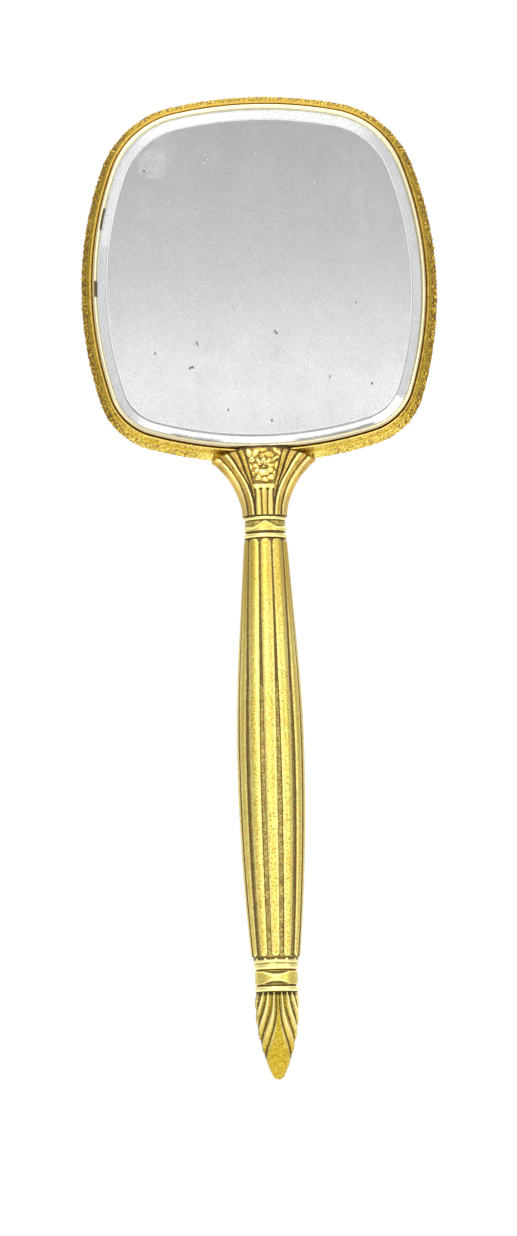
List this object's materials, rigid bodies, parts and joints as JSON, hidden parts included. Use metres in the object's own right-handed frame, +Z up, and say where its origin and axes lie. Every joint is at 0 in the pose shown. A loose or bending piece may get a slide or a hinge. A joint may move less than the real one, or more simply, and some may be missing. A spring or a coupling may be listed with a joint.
{
  "type": "hand mirror",
  "caption": "Dressing-table hand mirror: bevelled glass in a beaded, stippled gilt rim on a reeded column handle with a fan capital, ringed collars and a bud finial.",
  "frame": {"origin": "tip of the finial, on the axis of the handle", "axes": "+Z up along the handle towards the glass, the glass faces -Y, +X is to the right of a person looking at the glass"},
  "size_m": [0.129, 0.0242, 0.3566],
  "materials": {
    "gilt_rim": "stippled antique gilt, dark in the hollows",
    "polished_bead": "polished",
    "plate_glass": "clear polished, ground bevel",
    "silvering": "mirror",
    "card": "matt board",
    "clip_brass": "rolled",
    "felt": "felted wool",
    "gilt_back": "satin antique gilt",
    "gilt_casting": "satin antique gilt, dark in the hollows",
    "screw_steel": "turned",
    "tang_steel": "mill finish",
    "rivet_steel": "formed",
    "rod_steel": "drawn",
    "nut_steel": "zinc plated",
    "gilt_collar": "satin antique gilt",
    "gilt_grip": "fine-grained satin gilt, dark in the flutes",
    "bush_wood": "turned, unfinished",
    "gilt_finial": "satin antique gilt, dark in the leaf cuts"
  },
  "bodies": {
    "root": {"rim_frame": "gilt_rim", "glass_bezel": "polished_bead", "mirror_glass": "plate_glass", "silver_coat": "silvering", "backing_card": "card", "glass_clips": "clip_brass", "padding_sheet": "felt", "back_plate": "gilt_back", "neck_front": "gilt_casting", "neck_rear": "gilt_casting", "neck_screws": "screw_steel", "handle_tang": "tang_steel", "tang_rivets": "rivet_steel", "tie_rod": "rod_steel", "lock_nut": "nut_steel", "upper_collar": "gilt_collar", "grip_sleeve": "gilt_grip", "upper_bush": "bush_wood", "lower_bush": "bush_wood", "lower_collar": "gilt_collar", "rod_washer": "nut_steel", "rod_nut": "nut_steel", "finial": "gilt_finial"}
  },
  "joints": []
}
